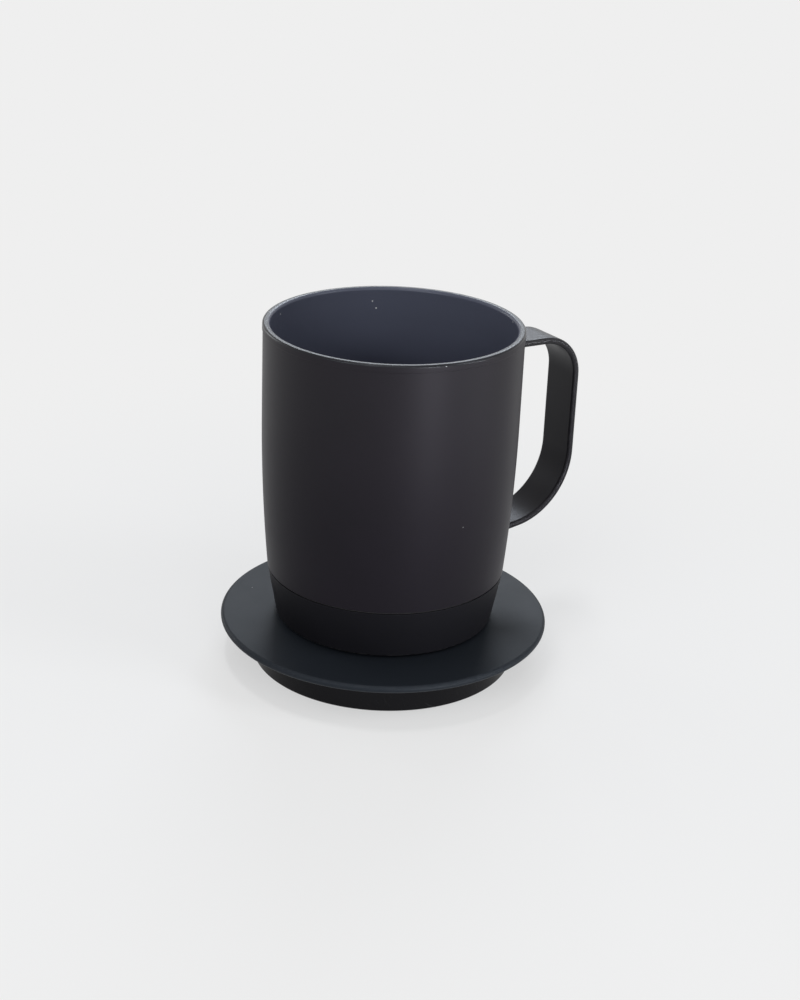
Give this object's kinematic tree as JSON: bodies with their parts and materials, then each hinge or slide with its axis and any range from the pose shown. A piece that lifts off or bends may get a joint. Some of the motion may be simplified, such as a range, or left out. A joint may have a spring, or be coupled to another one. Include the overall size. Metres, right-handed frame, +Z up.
{
  "type": "self-heating mug",
  "caption": "Handled steel mug with a heated floor and rechargeable base, standing on a round charging coaster; the mug lifts off, and its underside button and the coaster's pins press in.",
  "frame": {"origin": "on the mug's axis, at the flat face of the coaster's pad that stands on the table", "axes": "+Z up out of the mug's mouth, +X along the handle, +Y towards the side with the status light and the coaster's power inlet"},
  "size_m": [0.127, 0.11, 0.1167],
  "materials": {
    "shell_coating": "satin, slightly warm charcoal coating",
    "liner_coating": "semi-gloss slate coating",
    "base_band_plastic": "matt black",
    "underside_plastic": "matt black",
    "soft_ring": "matt",
    "contact_metal": "gold flashed",
    "button_plastic": "satin",
    "switch_plastic": "moulded",
    "board_green": "solder mask",
    "chip_black": "moulded",
    "screw_steel": "plated",
    "spring_steel": "drawn wire",
    "light_white": "milky",
    "tray_plastic": "moulded",
    "cell_wrap": "shrink sleeve over a metal can",
    "strip_metal": "plated sheet",
    "heater_amber": "polyimide film",
    "spreader_metal": "rolled sheet",
    "insulation_felt": "pressed felt",
    "lead_sleeve": "wire sleeve",
    "coaster_plastic": "satin black",
    "drum_gloss": "polished black",
    "cover_plastic": "moulded",
    "pad_rubber": "matt, fine ribs",
    "socket_metal": "drawn shell",
    "tongue_plastic": "moulded"
  },
  "bodies": {
    "coaster": {"coaster_top": "coaster_plastic", "drum_housing": "drum_gloss", "bottom_cover": "cover_plastic", "base_pad": "pad_rubber", "coaster_screws": "screw_steel", "charger_board": "board_green", "charger_chips": "chip_black", "charger_screws": "screw_steel", "socket_shell": "socket_metal", "socket_tongue": "tongue_plastic", "pin_barrels": "contact_metal", "pin_spring_inner": "spring_steel", "pin_spring_outer": "spring_steel"},
    "mug": {"outer_shell": "shell_coating", "inner_liner": "liner_coating", "handle": "shell_coating", "base_shell": "base_band_plastic", "seam_gasket": "soft_ring", "bottom_plate": "underside_plastic", "foot_ring": "soft_ring", "contact_ring_inner": "contact_metal", "contact_ring_outer": "contact_metal", "button_boot": "soft_ring", "power_switch": "switch_plastic", "main_board": "board_green", "main_board_chips": "chip_black", "main_board_screws": "screw_steel", "status_led": "light_white", "light_pipe": "light_white", "battery_tray": "tray_plastic", "tray_lid": "tray_plastic", "cell_a": "cell_wrap", "cell_b": "cell_wrap", "cell_links": "strip_metal", "mount_ring": "strip_metal", "base_screws": "screw_steel", "heater_film": "heater_amber", "spreader_plate": "spreader_metal", "insulation_disc": "insulation_felt", "insulation_sleeve": "insulation_felt", "heater_leads": "lead_sleeve", "temperature_sensor": "lead_sleeve"},
    "power_button": {"power_button": "button_plastic"},
    "charging_pin_inner": {"charging_pin_inner": "contact_metal"},
    "charging_pin_outer": {"charging_pin_outer": "contact_metal"}
  },
  "joints": [
    {"name": "mug_lift", "type": "slide", "parent": "coaster", "child": "mug", "axis": [0, 0, 1], "range_m": [0, 0.08]},
    {"name": "power_button_press", "type": "slide", "parent": "mug", "child": "power_button", "axis": [0, 0, 1], "range_m": [0, 0.0006], "stiffness_N_per_m": 400, "deforming": ["button_boot"]},
    {"name": "pin_inner_press", "type": "slide", "parent": "coaster", "child": "charging_pin_inner", "axis": [0, 0, -1], "range_m": [0, 0.0015], "stiffness_N_per_m": 400, "deforming": ["pin_spring_inner"]},
    {"name": "pin_outer_press", "type": "slide", "parent": "coaster", "child": "charging_pin_outer", "axis": [0, 0, -1], "range_m": [0, 0.0015], "stiffness_N_per_m": 400, "deforming": ["pin_spring_outer"]}
  ]
}
